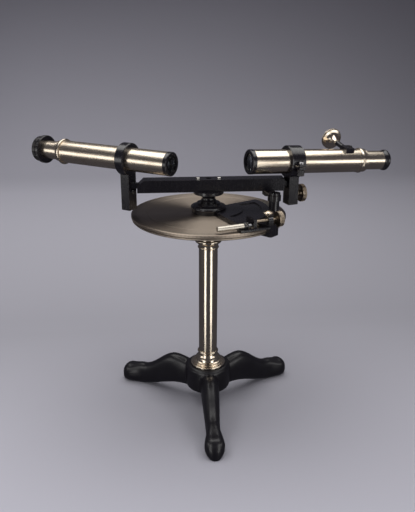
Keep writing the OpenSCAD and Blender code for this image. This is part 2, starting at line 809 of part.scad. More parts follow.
slit_flange_r = 16.4;
slit_ring_r = 14.8;
slit_flange_t = 5;
slit_plate_t = 1.4;
slit_sleeve_r = 9;
slit_sleeve_h = 5.4;
slit_w = 0.6;
slit_h = 8;

module slit_head() {
    color(BLACK) collimator_frame() along_x(slit_head_at) difference() {
        union() {
            knurled(slit_flange_r, slit_flange_t, 60, 0.4);
            cylinder(r = 13.4, h = slit_flange_t + slit_plate_t);
            cylinder(r = slit_sleeve_r, h = slit_flange_t + slit_plate_t + slit_sleeve_h);
        }
        translate([0, 0, -1]) cylinder(r = slit_tube_r, h = 3);
        cylinder(r = slit_tube_r - slit_wall, h = slit_flange_t);
        translate([-slit_h / 2, -slit_w / 2, 0]) cube([slit_h, slit_w, 20]);
        translate([0, 0, slit_flange_t + slit_plate_t]) cylinder(r = 7.4, h = 10);
    }
}

module slit_ring() {
    color(BLACK) collimator_frame() along_x(slit_head_at + slit_flange_t + slit_plate_t + face_gap)
        difference() {
            knurled(slit_ring_r, 4.8, 54, 0.4);
            translate([0, 0, -1]) cylinder(r = slit_sleeve_r + run_fit, h = 10);
        }
}

slit_cap_t = 0.9;
module slit_cap() {
    color(BLACK) collimator_frame() along_x(slit_head_at + slit_flange_t + slit_plate_t + slit_sleeve_h)
        ring(slit_sleeve_r + 1.2, 7.4, slit_cap_t);
}

module slit_jaw() {
    color(STEEL) collimator_frame() translate([slit_head_at + slit_flange_t - 1.1, 0, 0])
        translate([0, -4.3, -5]) cube([1, 4.1, 10]);
}

// ---------- telescope ----------

telescope_r = telescope_d / 2;
telescope_wall = 1.2;
draw_r = draw_d / 2;
draw_wall = 1;
draw_in = 46;
draw_out = eyecap_at - 2.5;

// Frame of the telescope's ring: +X towards the eyepiece, origin on the pivot
module telescope_ring_frame() {
    translate([telescope_arm, 0, telescope_z]) rotate([0, telescope_droop, telescope_turn]) children();
}
// The same, turned with the tube in its ring
module telescope_frame() { telescope_ring_frame() rotate([telescope_roll, 0, 0]) children(); }
// Upright frame of the telescope's post
module telescope_post_frame() {
    translate([telescope_arm, 0, telescope_z]) rotate(telescope_turn) children();
}

knob_z = 19.5;
knob_screw_r = 2.2;
module telescope_bracket() {
    color(BLACK) difference() {
        union() {
            telescope_post_frame()
                post(telescope_post, telescope_post_low, telescope_z - 14.8, telescope_z,
                    180 - telescope_turn);
            telescope_ring_frame() {
                ring_blank(telescope_ring_w);
                translate([-lug_w / 2, -ring_r - lug_out, lug_low])
                    cube([lug_w, lug_out + 4, lug_top - lug_low]);
            }
        }
        telescope_ring_frame() {
            along_x(-20) cylinder(r = telescope_r + run_fit, h = 40);
            translate([-20, -ring_r - lug_out - 1, split_z - 0.5]) cube([40, lug_out + 10, 1]);
        }
        telescope_post_frame() {
            pin_bore(telescope_post_low, telescope_z);
            translate([0, 0, knob_z - telescope_z]) rotate([0, 90, 0])
                cylinder(r = knob_screw_r + run_fit, h = 20);
        }
        telescope_ring_frame() translate([0, lug_screw_y, lug_low - 1])
            cylinder(r = lug_screw_r + run_fit, h = lug_top - lug_low + 2);
    }
}

module telescope_pivot_pin() { translate([telescope_arm, 0, 0]) pivot_pin(telescope_post_low); }

// Round nut on top of the lug
module telescope_ring_nut() {
    color(STEEL) telescope_ring_frame() translate([0, lug_screw_y, lug_top]) difference() {
        turned([[0, 0], [3.3, 0], [3.3, lug_nut_t - 0.6], [2.7, lug_nut_t], [0, lug_nut_t]]);
        translate([0, 0, -1]) cylinder(r = lug_screw_r + run_fit, h = lug_nut_t + 2);
    }
}

module telescope_ring_screw() {
    head_h = 7.2;
    head_low = lug_low - 0.1 - head_h;
    color(BLACK) telescope_ring_frame() translate([0, lug_screw_y, head_low]) {
        knurled(4, head_h, 24, 0.3);
        cylinder(r = lug_screw_r, h = lug_top + lug_nut_t + 0.5 - head_low);
    }
}

module swivel_knob() {
    color(BRASS) telescope_post_frame() translate([0, 0, knob_z - telescope_z]) {
        along_x(pin_r + 0.1) cylinder(r = knob_screw_r, h = telescope_post[0] / 2 + 2);
        along_x(telescope_post[0] / 2 + 0.1)
            turned([[0, 0], [4.4, 0], [3.6, 1.4], [3.6, 3.6], [5.6, 5.5], [0, 5.5]]);
        along_x(telescope_post[0] / 2 + 5.4) knurled(10.3, 5, 60, 0.35);
    }
}

pinion_teeth = 10;
pinion_r = pinion_teeth * tooth_m / 2;
rack_line = draw_r - 0.2;
pinion_z = rack_line + pinion_r;
tooth_w = 4;
shaft_r = 1.5;
window = pinion_r + tooth_m + 0.2;
box_from = pinion_at - window - 1.6;
box_len = 2 * window + 4.6;
box_w = 14;
box_top = pinion_z + window + 0.5;
box_bevel = 1.8;
sleeve_r = 3;
focus_in = 3;
focus_out = 9;

module telescope_tube() {
    color(BRASS) telescope_frame() difference() {
        along_x(-telescope_front + cell_len) ring(telescope_r, telescope_r - telescope_wall,
            telescope_front - cell_len + telescope_back);
        translate([pinion_at - window, -tooth_w / 2 - 0.7, 8]) cube([2 * window, tooth_w + 1.4, 10]);
        across_y(pinion_at, pinion_z, -box_w / 2 + 1.5) cylinder(r = shaft_r + face_gap, h = box_w);
    }
}

module objective_cell() {
    color(BLACK) telescope_frame() along_x(-telescope_front)
        lens_cell(telescope_r, telescope_wall, telescope_r + 0.2);
}

module objective_lens() {
    color(GLASS) telescope_frame() along_x(-telescope_front + 1.6 + eps)
        lens_seated(telescope_r - telescope_wall - 0.9);
}

end_ring_from = telescope_back - 5;
module telescope_end_ring() {
    color(BRASS) telescope_frame() difference() {
        along_x(end_ring_from) turned(concat([[0, 0], [telescope_r + 0.25, 0], [telescope_r + 0.25, 2.6]],
            arc(telescope_r - 0.5, 4.3, 1.5, -50, 60, 8), [[telescope_r + 0.1, 6.4],
            [telescope_r - 0.1, 9.2], [telescope_r - 0.1, 10.6], [telescope_r - 0.5, 11], [0, 11]]));
        along_x(end_ring_from - 1) cylinder(r = telescope_r, h = telescope_back - end_ring_from + 1);
        along_x(end_ring_from) cylinder(r = draw_r + run_fit, h = 40);
    }
}

module across_y(x, z, y) { translate([x, y, z]) rotate([-90, 0, 0]) children(); }

module pinion_box() {
    color(BLACK) telescope_frame() difference() {
        union() {
            translate([box_from, -box_w / 2, 8]) cube([box_len, box_w, box_top - 8]);
            across_y(pinion_at, pinion_z, box_w / 2 - 1)
                cylinder(r = sleeve_r, h = knob_from - face_gap - box_w / 2 + 1);
        }
        along_x(box_from - 5) cylinder(r = telescope_r, h = box_len + 10);
        for (side = [-1, 1]) translate([box_from - 1, side * box_w / 2, box_top]) rotate([45, 0, 0])
            cube([2 * box_len + 4, box_bevel * sqrt(2), box_bevel * sqrt(2)], center = true);
        across_y(pinion_at, pinion_z, -tooth_w / 2 - 0.7)
            cylinder(r = window, h = tooth_w + 1.4);
        translate([pinion_at - window, -tooth_w / 2 - 0.7, 8])
            cube([2 * window, tooth_w + 1.4, pinion_z - 8]);
        across_y(pinion_at, pinion_z, -box_w / 2 + 1.5)
            cylinder(r = shaft_r + run_fit, h = box_w / 2 + knob_from);
        translate([box_screw_at, 0, 10]) cylinder(r = box_screw_r, h = 20, $fn = 32);
    }
}

box_screw_at = box_from + box_len - 1.6;
box_screw_r = 0.8;
module box_screw() {
    color(BLACK) telescope_frame() translate([box_screw_at, 0, 0]) {
        translate([0, 0, box_top]) slotted_head(1.6, 1.2, 0.5);
        translate([0, 0, telescope_r])
            cylinder(r = box_screw_r, h = box_top - telescope_r + 0.2, $fn = 32);
    }
}

// Outline of a spur pinion with involute flanks; play thins each tooth
base_r = pinion_r * cos(20);
function inv(a) = tan(a) * 180 / PI - a;
function half_tooth(r, play) = 90 / pinion_teeth + inv(20)
    - (r > base_r ? inv(acos(base_r / r)) : 0) - play / pinion_r * 90 / PI;
function pinion_outline(play) = let (root = pinion_r - 1.2 * tooth_m, tip_r = pinion_r + 0.9 * tooth_m,
    radii = [root, base_r, pinion_r, (pinion_r + tip_r) / 2, tip_r])
    [for (i = [0:pinion_teeth - 1]) let (mid = 360 * i / pinion_teeth)
        for (k = [0:9]) let (r = radii[k < 5 ? k : 9 - k],
            a = mid + (k < 5 ? -1 : 1) * half_tooth(r, play)) r * [cos(a), sin(a)]];

module focus_pinion() {
    color(STEEL) telescope_frame() {
        across_y(pinion_at, pinion_z, -tooth_w / 2 + 0.3) rotate(90)
            linear_extrude(height = tooth_w - 0.6) polygon(pinion_outline(0.1));
        across_y(pinion_at, pinion_z, -box_w / 2 + 1.6)
            cylinder(r = shaft_r, h = box_w / 2 - 1.6 + knob_from + knob_bore_h - 0.5);
    }
}

knob_from = 21;
knob_r = 12.5;
knob_bore_h = 9;
module focus_knob() {
    color(BRASS) telescope_frame() across_y(pinion_at, pinion_z, knob_from) difference() {
        turned(concat([[0, 0], [3.2, 0], [3.8, 0.6], [3.8, 1.6], [3.2, 2.2]],
            arc(14.2, 2.6, 11, 180, 118, 10), [[knob_r - 0.7, 13], [knob_r, 13.6],
            [knob_r, 16.2], [knob_r - 0.7, 16.8], [knob_r - 2, 16.8], [knob_r - 3.4, 14.2],
            [knob_r - 5.6, 12.6], [3.6, knob_bore_h], [0, knob_bore_h]]));
        translate([0, 0, -1]) cylinder(r = shaft_r, h = 40);
        for (i = [0:47]) rotate(7.5 * i) translate([knob_r + 0.12, 0, 12])
            cylinder(r = 0.3, h = 6, $fn = 6);
    }
}

rack_from = pinion_at - focus_out - 1.5;
rack_to = pinion_at + focus_in + 1.2;
rack_base = draw_r - draw_wall - 0.5;
rack_root = rack_line - 1.2 * tooth_m;
module draw_tube() {
    color(BRASS) telescope_frame() difference() {
        union() {
            along_x(draw_in) ring(draw_r, draw_r - draw_wall, draw_out - draw_in);
            along_x(draw_in) ring(telescope_r - telescope_wall - run_fit, draw_r - draw_wall, 4);
        }
        translate([rack_from, -tooth_w / 2, 8]) cube([rack_to - rack_from, tooth_w, 8]);
    }
}

module focus_rack() {
    pitch = PI * tooth_m;
    half = pitch / 4 - 0.03;
    lean = tan(20);
    top = 0.7 * tooth_m;
    low = rack_line - rack_root;
    count = floor((rack_to - rack_from) / pitch);
    first = -floor((pinion_at - rack_from) / pitch - 0.5) + 0.5;
    color(STEEL) telescope_frame() rotate([90, 0, 0]) translate([0, 0, -tooth_w / 2])
        linear_extrude(height = tooth_w) polygon(concat(
            [[rack_from, rack_base], [rack_from, rack_root]],
            [for (i = [0:count - 2]) let (x = pinion_at + (first + i) * pitch)
                for (c = [[-half - lean * low, -low], [-half + lean * top, top],
                    [half - lean * top, top], [half + lean * low, -low]]) [x + c[0], rack_line + c[1]]],
            [[rack_to, rack_root], [rack_to, rack_base]]));
}

module reticle_ring() {
    color(BRASS) telescope_frame() along_x(eye_in - 8) ring(draw_r - draw_wall, 7.5, 2);
}

eye_r = draw_r - draw_wall - run_fit;
eye_bore = eye_r - 1;
eye_in = 100;
cap_gap = 0.3;
module eyepiece_tube() {
    color(BLACK) telescope_frame() along_x(eye_in) ring(eye_r, eye_bore, eyecap_at - eye_in + 2);
}

module field_lens() {
    color(GLASS) telescope_frame() along_x(eye_in + 2.5) lens(eye_bore, 2, 1);
}

module eye_lens() {
    color(GLASS) telescope_frame() along_x(eyecap_at - 4) lens(eye_bore, 2, 1);
}

module eyepiece_cap() {
    from = draw_out + cap_gap;
    color(BLACK) telescope_frame() difference() {
        along_x(from) turned([[0, 0], [draw_r, 0], [draw_r + 0.2, eyecap_at - from],
            [draw_r + 1.2, eyecap_at - from + 2.2], [draw_r + 1.2, eyecap_at - from + 4],
            [draw_r - 0.4, eyecap_at - from + 6], [0, eyecap_at - from + 6]]);
        along_x(from - 1) cylinder(r = eye_r, h = eyecap_at + 3 - from);
        along_x(from) cylinder(r = 5, h = 40);
        along_x(eyecap_at + 3.6) turned([[0, 0], [5, 0], [8.5, 3], [0, 3]]);
    }
}

tripod_base();
pillar_foot();
pillar_tube();
pillar_capital();
tie_rod();
tie_rod_nut();
divided_circle();
circle_screws();
centre_spindle();
vernier_hub();
beam_flange();
beam();
beam_screws();
spindle_washer();
vernier_plate();
vernier_scale();
clamp_block();
clamp_shoe();
clamp_screw();
clamp_bridge();
spring_barrel();
barrel_spring();
spring_plunger();
tangent_screw();
reader_bracket();
reader_thumb_screw();
reader_tube();
reader_lens();
collimator_bracket();
collimator_pivot_pin();
collimator_set_screw();
collimator_tube();
collimator_lens_cell();
collimator_lens();
collimator_collar();
slit_tube();
slit_head();
slit_ring();
slit_cap();
slit_jaw();
telescope_bracket();
telescope_pivot_pin();
telescope_ring_nut();
telescope_ring_screw();
swivel_knob();
telescope_tube();
objective_cell();
objective_lens();
telescope_end_ring();
pinion_box();
box_screw();
focus_pinion();
focus_knob();
draw_tube();
focus_rack();
reticle_ring();
eyepiece_tube();
field_lens();
eye_lens();
eyepiece_cap();
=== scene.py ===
import math

import bmesh
import bpy
from mathutils import Matrix, Vector


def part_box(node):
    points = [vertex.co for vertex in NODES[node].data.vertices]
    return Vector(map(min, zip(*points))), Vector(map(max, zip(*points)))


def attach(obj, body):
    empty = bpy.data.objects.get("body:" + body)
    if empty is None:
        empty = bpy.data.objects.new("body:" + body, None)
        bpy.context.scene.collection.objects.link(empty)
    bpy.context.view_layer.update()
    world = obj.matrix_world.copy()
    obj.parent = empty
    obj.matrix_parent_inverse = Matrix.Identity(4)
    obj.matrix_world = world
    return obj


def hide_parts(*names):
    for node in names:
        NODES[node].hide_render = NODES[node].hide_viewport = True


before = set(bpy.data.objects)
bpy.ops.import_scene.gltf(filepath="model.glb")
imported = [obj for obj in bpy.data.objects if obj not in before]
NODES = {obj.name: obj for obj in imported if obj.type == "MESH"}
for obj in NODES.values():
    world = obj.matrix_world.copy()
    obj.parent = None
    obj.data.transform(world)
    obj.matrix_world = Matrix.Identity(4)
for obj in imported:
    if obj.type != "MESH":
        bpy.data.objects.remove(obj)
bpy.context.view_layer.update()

MM = 0.001
FLOOR_Z = -0.2505

# ---------- directions of the pillar and of the tubes, as the CAD has them ----------

UP = Vector((0, 0, 1))
COLLIMATOR_TURN = math.radians(145.8)
COLLIMATOR_AXIS = Vector((math.cos(COLLIMATOR_TURN), math.sin(COLLIMATOR_TURN), 0))
SCOPE_YAW, SCOPE_PITCH = math.radians(16.1), math.radians(3.2)
SCOPE_AXIS = (Matrix.Rotation(SCOPE_YAW, 3, "Z") @ Matrix.Rotation(SCOPE_PITCH, 3, "Y")
              @ Vector((1, 0, 0)))


# ---------- node helpers ----------

OPEN_SURFACE, SHARP_EDGE = 0.995, 0.9      # how far a rounded normal still follows the flat one


class Shader:
    """One material and the few node shapes that all of them use."""

    def __init__(self, name):
        self.material = bpy.data.materials.new(name)
        self.material.use_nodes = True
        self.tree = self.material.node_tree
        self.tree.nodes.clear()
        self.out = self.node("ShaderNodeOutputMaterial")
        self.bsdf = self.node("ShaderNodeBsdfPrincipled")
        self.join(self.bsdf.outputs[0], self.out.inputs["Surface"])
        self.place = self.node("ShaderNodeTexCoord").outputs["Object"]

    def node(self, kind, **values):
        made = self.tree.nodes.new(kind)
        for key, value in values.items():
            setattr(made, key, value)
        return made

    def join(self, a, b):
        self.tree.links.new(a, b)

    def put(self, socket, value):
        """Links an output, or sets a constant."""
        if isinstance(value, bpy.types.NodeSocket):
            self.join(value, socket)
        else:
            socket.default_value = value

    def vector(self, operation, a, b=None, scale=None):
        made = self.node("ShaderNodeVectorMath", operation=operation)
        self.put(made.inputs[0], a)
        if b is not None:
            self.put(made.inputs[1], b)
        if scale is not None:
            self.put(made.inputs["Scale"], scale)
        return made.outputs["Value" if operation in ("DOT_PRODUCT", "LENGTH") else "Vector"]

    def math(self, operation, a, b=0.0):
        made = self.node("ShaderNodeMath", operation=operation)
        self.put(made.inputs[0], a)
        self.put(made.inputs[1], b)
        return made.outputs[0]

    def noise(self, at, scale, detail=3.0, rough=0.55, distort=0.0):
        made = self.node("ShaderNodeTexNoise")
        self.join(at, made.inputs["Vector"])
        made.inputs["Scale"].default_value = scale
        made.inputs["Detail"].default_value = detail
        made.inputs["Roughness"].default_value = rough
        made.inputs["Distortion"].default_value = distort
        return made.outputs["Fac"]

    def lines(self, along, scale, detail=2.0):
        """Noise that changes along one direction only, such as turning marks."""
        made = self.node("ShaderNodeTexNoise", noise_dimensions="1D")
        self.join(along, made.inputs["W"])
        made.inputs["Scale"].default_value = scale
        made.inputs["Detail"].default_value = detail
        return made.outputs["Fac"]

    def span(self, value, low, high, to_low=0.0, to_high=1.0):
        """Stretches low...high of a value to to_low...to_high, and holds it there outside."""
        made = self.node("ShaderNodeMapRange")
        self.join(value, made.inputs["Value"])
        ends = {"From Min": low, "From Max": high, "To Min": to_low, "To Max": to_high}
        for name, number in ends.items():
            made.inputs[name].default_value = number
        return made.outputs["Result"]

    def mix(self, share, a, b):
        """Colour a where share is 0, and b where it is 1."""
        made = self.node("ShaderNodeMix", data_type="RGBA")
        self.put(made.inputs["Factor"], share)
        self.put(made.inputs[6], a)
        self.put(made.inputs[7], b)
        return made.outputs[2]

    def bump(self, height, strength, distance=0.0004):
        made = self.node("ShaderNodeBump")
        made.inputs["Strength"].default_value = strength
        made.inputs["Distance"].default_value = distance
        self.join(height, made.inputs["Height"])
        self.join(made.outputs["Normal"], self.bsdf.inputs["Normal"])

    def edges(self, radius):
        """1 on sharp edges, 0 on open surface."""
        bevel = self.node("ShaderNodeBevel", samples=4)
        bevel.inputs["Radius"].default_value = radius
        flat = self.node("ShaderNodeNewGeometry").outputs["Normal"]
        same = self.vector("DOT_PRODUCT", bevel.outputs["Normal"], flat)
        return self.span(same, OPEN_SURFACE, SHARP_EDGE)

    def drawn_along(self, axis, squeeze=0.97):
        """The place squeezed along an axis, for noise in streaks, and the way along the axis."""
        along = self.vector("DOT_PRODUCT", self.place, tuple(axis))
        back = self.vector("SCALE", tuple(axis), scale=self.math("MULTIPLY", along, -squeeze))
        return self.vector("ADD", self.place, back), along


def rgb(r, g, b):
    """Linear colour from 0 to 255 display values."""
    def linear(v):
        v = v / 255
        return v / 12.92 if v <= 0.04045 else ((v + 0.055) / 1.055) ** 2.4
    return (linear(r), linear(g), linear(b), 1.0)


BRASS_BRIGHT = rgb(240, 228, 210)
BRASS_MID = rgb(219, 203, 182)
BRASS_OLD = rgb(158, 140, 116)
BRASS_STAIN = rgb(84, 68, 52)
LACQUER = rgb(22, 20, 26)
LACQUER_CLOUDY = rgb(30, 28, 33)
LACQUER_WORN = rgb(92, 82, 72)
DUST = rgb(84, 80, 84)
ENGRAVED = rgb(36, 30, 26)
GLASS = rgb(238, 246, 248)
GLASS_IOR = 1.52
STEEL, BRIGHT_STEEL, SILVERED = (150, 150, 152), (232, 228, 222), (226, 218, 204)
CIRCLE_METAL, CIRCLE_OLD = rgb(206, 192, 177), rgb(140, 127, 114)
VERNIER_METAL, VERNIER_OLD = rgb(214, 206, 190), rgb(176, 166, 150)
TOOL_MARKS = 0.008                         # strength of the marks' bump on brass
EDGE_RUB = 0.0006                          # width of the rubbed edge, in metres
BRUSHED_IN_CIRCLES = 0.85                  # anisotropy of the divided metal

# bands of graduations: lines round the circle, a line's share of its step, inner and outer radius
CIRCLE_DIVISIONS = ((720, 0.24, 83.6, 86.4), (360, 0.14, 82.4, 86.4), (72, 0.04, 80.6, 86.4))
VERNIER_DIVISIONS = ((740, 0.26, 76.2, 79.0), (148, 0.07, 74.4, 79.0))


def brass(name, axis=UP, rough=0.24, age=0.35, dull=0.0):
    """Lacquered brass: draw streaks, faint turning marks, tarnish in soft patches and specks."""
    s = Shader(name)
    streaked, along = s.drawn_along(axis)
    streaks = s.noise(streaked, scale=900, detail=4)
    turned = s.lines(along, scale=2600, detail=3)
    patches = s.noise(s.place, scale=38, detail=5, rough=0.6, distort=0.4)
    specks = s.span(s.noise(s.place, scale=420, rough=0.7), 0.69, 0.76)
    colour = s.mix(s.span(streaks, 0.3, 0.7), BRASS_MID, BRASS_BRIGHT)
    colour = s.mix(s.span(patches, 0.5, 0.78, 0.0, age), colour, BRASS_OLD)
    colour = s.mix(s.math("MULTIPLY", specks, 0.55), colour, BRASS_STAIN)
    colour = s.mix(dull, colour, BRASS_STAIN)
    s.join(colour, s.bsdf.inputs["Base Color"])
    s.bsdf.inputs["Metallic"].default_value = 1.0
    grain = s.math("ADD", s.math("MULTIPLY", streaks, 0.10), s.math("MULTIPLY", patches, 0.10))
    s.join(s.math("ADD", grain, rough - 0.10), s.bsdf.inputs["Roughness"])
    marks = s.math("ADD", s.math("MULTIPLY", streaks, 0.5), s.math("MULTIPLY", turned, 0.5))
    s.bump(marks, TOOL_MARKS)
    return s.material


def lacquer(name, rough=0.24, wear=0.5, cast=0.0, coat=0.35):
    """Black lacquer with dust, fine scratches and edges rubbed to bronze; cast adds to its bump."""
    s = Shader(name)
    scratches = s.span(s.noise(s.drawn_along(UP, 0.9)[0], scale=500, detail=2), 0.62, 0.72)
    clouds = s.noise(s.place, scale=60, detail=5, rough=0.6)
    dust = s.span(s.noise(s.place, scale=900, detail=2), 0.66, 0.74)
    worn = s.span(s.noise(s.place, scale=180), 0.35, 0.7, 0.0, wear)
    rub = s.math("MULTIPLY", s.edges(EDGE_RUB), worn)
    colour = s.mix(s.span(clouds, 0.35, 0.75, 0.0, 0.5), LACQUER, LACQUER_CLOUDY)
    colour = s.mix(s.math("MULTIPLY", dust, 0.12), colour, DUST)
    colour = s.mix(rub, colour, LACQUER_WORN)
    s.join(colour, s.bsdf.inputs["Base Color"])
    s.bsdf.inputs["Coat Weight"].default_value = coat
    s.bsdf.inputs["Coat Roughness"].default_value = 0.12
    uneven = s.math("ADD", s.math("MULTIPLY", clouds, 0.16), s.math("MULTIPLY", scratches, 0.12))
    s.join(s.math("ADD", uneven, rough - 0.06), s.bsdf.inputs["Roughness"])
    s.bump(s.noise(s.place, scale=260, detail=4, rough=0.6), 0.08 + cast, 0.0006)
    return s.material


def steel(name, colour=STEEL, rough=0.28):
    """Turned steel, or another white metal, with fine scratches."""
    s = Shader(name)
    streaks = s.noise(s.drawn_along(UP)[0], scale=1200)
    darker = rgb(*[0.86 * c for c in colour])
    s.join(s.mix(s.span(streaks, 0.3, 0.7), darker, rgb(*colour)), s.bsdf.inputs["Base Color"])
    s.bsdf.inputs["Metallic"].default_value = 1.0
    grain = s.math("MULTIPLY", streaks, 0.16)
    s.join(s.math("ADD", grain, rough - 0.08), s.bsdf.inputs["Roughness"])
    s.bump(streaks, 0.05)
    return s.material


def glass(name):
    """Clear glass with a faint smear in its gloss."""
    s = Shader(name)
    s.bsdf.inputs["Base Color"].default_value = GLASS
    s.bsdf.inputs["Transmission Weight"].default_value = 1.0
    s.bsdf.inputs["IOR"].default_value = GLASS_IOR
    smear = s.span(s.noise(s.place, scale=120), 0.4, 0.8, 0.01, 0.07)
    s.join(smear, s.bsdf.inputs["Roughness"])
    return s.material


def ticks(s, angle, count, share):
    """1 on each of count fine lines round a circle; share is the line's part of a step."""
    step = s.math("FRACT", s.math("MULTIPLY", angle, count / (2 * math.pi)))
    return s.math("LESS_THAN", step, share)


def band(s, radius, low, high):
    """1 between two radii."""
    inside, outside = s.math("LESS_THAN", radius, high), s.math("GREATER_THAN", radius, low)
    return s.math("MULTIPLY", outside, inside)


def divided(name, base, old, rough, divisions):
    """Satin metal brushed in circles, with engraved graduations on its upward faces."""
    s = Shader(name)
    split = s.node("ShaderNodeSeparateXYZ")
    s.join(s.place, split.inputs[0])
    x, y = split.outputs[0], split.outputs[1]
    radius = s.math("SQRT", s.math("ADD", s.math("MULTIPLY", x, x), s.math("MULTIPLY", y, y)))
    angle = s.math("ARCTAN2", y, x)
    brushed = s.lines(radius, scale=4200, detail=4)
    broad = s.lines(radius, scale=260)
    patches = s.noise(s.place, scale=30, detail=5, rough=0.6, distort=0.5)
    specks = s.span(s.noise(s.place, scale=520, rough=0.7), 0.68, 0.75)
    colour = s.mix(s.span(brushed, 0.25, 0.75), old, base)
    colour = s.mix(s.span(patches, 0.45, 0.8, 0.0, 0.45), colour, old)
    colour = s.mix(s.math("MULTIPLY", specks, 0.5), colour, BRASS_STAIN)
    outward = s.node("ShaderNodeVectorTransform", vector_type="VECTOR",
                     convert_from="OBJECT", convert_to="WORLD")
    s.join(s.vector("NORMALIZE", s.vector("MULTIPLY", s.place, (1, 1, 0))), outward.inputs[0])
    s.join(outward.outputs[0], s.bsdf.inputs["Tangent"])
    s.bsdf.inputs["Anisotropic"].default_value = BRUSHED_IN_CIRCLES
    upward = s.vector("DOT_PRODUCT", s.node("ShaderNodeNewGeometry").outputs["Normal"], tuple(UP))
    cut = 0.0
    for count, share, low, high in divisions:
        lines = s.math("MULTIPLY", ticks(s, angle, count, share),
                       band(s, radius, low * MM, high * MM))
        cut = s.math("MAXIMUM", cut, lines)
    cut = s.math("MULTIPLY", cut, s.math("GREATER_THAN", upward, 0.9))
    colour = s.mix(s.math("MULTIPLY", cut, 0.85), colour, ENGRAVED)
    s.join(colour, s.bsdf.inputs["Base Color"])
    s.bsdf.inputs["Metallic"].default_value = 1.0
    grain = s.math("MULTIPLY", brushed, 0.14)
    s.join(s.math("ADD", grain, rough - 0.07), s.bsdf.inputs["Roughness"])
    marks = s.math("ADD", s.math("MULTIPLY", brushed, 0.5), s.math("MULTIPLY", broad, 0.5))
    s.bump(s.math("SUBTRACT", marks, cut), 0.12, 0.0003)
    return s.material


def dress(material, *names):
    """Gives CAD nodes a material."""
    for name in names:
        slots = NODES[name].data.materials
        slots.clear()
        slots.append(material)


# ---------- mesh helpers ----------

CORE_R = 0.4                               # a turned end's cap leaves this radius, in mm, flat


def new_object(name, mesh_maker, material):
    """A smooth-shaded mesh object that mesh_maker fills."""
    mesh = bpy.data.meshes.new(name)
    bm = bmesh.new()
    mesh_maker(bm)
    bmesh.ops.remove_doubles(bm, verts=bm.verts, dist=1e-7)
    bmesh.ops.recalc_face_normals(bm, faces=bm.faces)
    bm.to_mesh(mesh)
    bm.free()
    mesh.shade_smooth()
    mesh.materials.append(material)
    made = bpy.data.objects.new(name, mesh)
    bpy.context.scene.collection.objects.link(made)
    return made


def add_piece(name, mesh_maker, body, material, smooth):
    """A piece of the instrument; its edges are sharp above the angle smooth, in degrees."""
    piece = new_object(name, mesh_maker, material)
    piece.data.set_sharp_from_angle(angle=math.radians(smooth))
    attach(piece, body)
    return piece


def sweep(bm, rings):
    """Skins a list of closed rings and caps both ends."""
    made = [[bm.verts.new(p) for p in ring] for ring in rings]
    count = len(made[0])
    for a, b in zip(made, made[1:]):
        for k in range(count):
            bm.faces.new((a[k], a[(k + 1) % count], b[(k + 1) % count], b[k]))
    bm.faces.new(made[0][::-1])
    bm.faces.new(made[-1])


def curve(cx, cy, r, start, end, steps=8):
    """Points along an arc of a profile, in mm, between two angles in degrees."""
    turns = [math.radians(start + (end - start) * i / steps) for i in range(steps + 1)]
    return [(cx + r * math.cos(a), cy + r * math.sin(a)) for a in turns]


def above_table(profile):
    """A profile in heights above the table, moved to the CAD's heights."""
    return [(r, z + FLOOR_Z / MM) for r, z in profile]


def lathe(bm, profile, steps=128):
    """Turns an open profile of (radius, height), in mm, about Z, and caps its ends."""
    turns = [2 * math.pi * k / steps for k in range(steps)]
    made = []
    for r, z in profile:
        made.append([bm.verts.new((r * MM * math.cos(a), r * MM * math.sin(a), z * MM))
                     for a in turns])
    for a, b in zip(made, made[1:]):
        for k in range(steps):
            bm.faces.new((a[k], a[(k + 1) % steps], b[(k + 1) % steps], b[k]))
    bm.faces.new(made[0][::-1])
    bm.faces.new(made[-1])


# ---------- tripod casting ----------

# millimetres, with radii from the pillar's axis and heights above the table
BOSS_TOP, BOSS_LOW, BOSS_R = 53.7, 22.4, 27.6
BOSS_LOW_FILLET, BOSS_TOP_FILLET, BOSS_TOP_EASE = 4, 2, 1.4
SEAT_R, SEAT_DEEP = 17.4, 2                # recess that the pillar's foot stands in
LEG_START, LEG_START_H = 12, BOSS_TOP - 6  # inside the hub
ROOT_R, ROOT_W = 34, 22
CREST_R, CREST_H = 47, 54                  # highest point of a leg's back
NECK_R, NECK_H, NECK_W = 95, 28.5, 16.6    # slimmest point, before the foot
FOOT_REACH, FOOT_W, FOOT_H = 115, 23.2, 24
ARCH_R, ARCH_H = 32, 15                    # underside of a leg, where it leaves the hub
SOLE_H = -1.2                              # a foot's lowest line, cut off flat at the table
TRIPOD_TURN = -91.2
SECTION_POWER = 0.8                        # squareness of a leg's section; 1 is an ellipse
LEG_STATIONS, TIP_STATIONS = 44, 14
MELT_VOXEL = 0.0009
CUT_FLAT = 0.0006                          # a point this near the table lies on it


def glide(x, a, va, b, vb):
    """Smooth step from va at a to vb at b."""
    t = min(1, max(0, (x - a) / (b - a)))
    return va + (vb - va) * t * t * (3 - 2 * t)


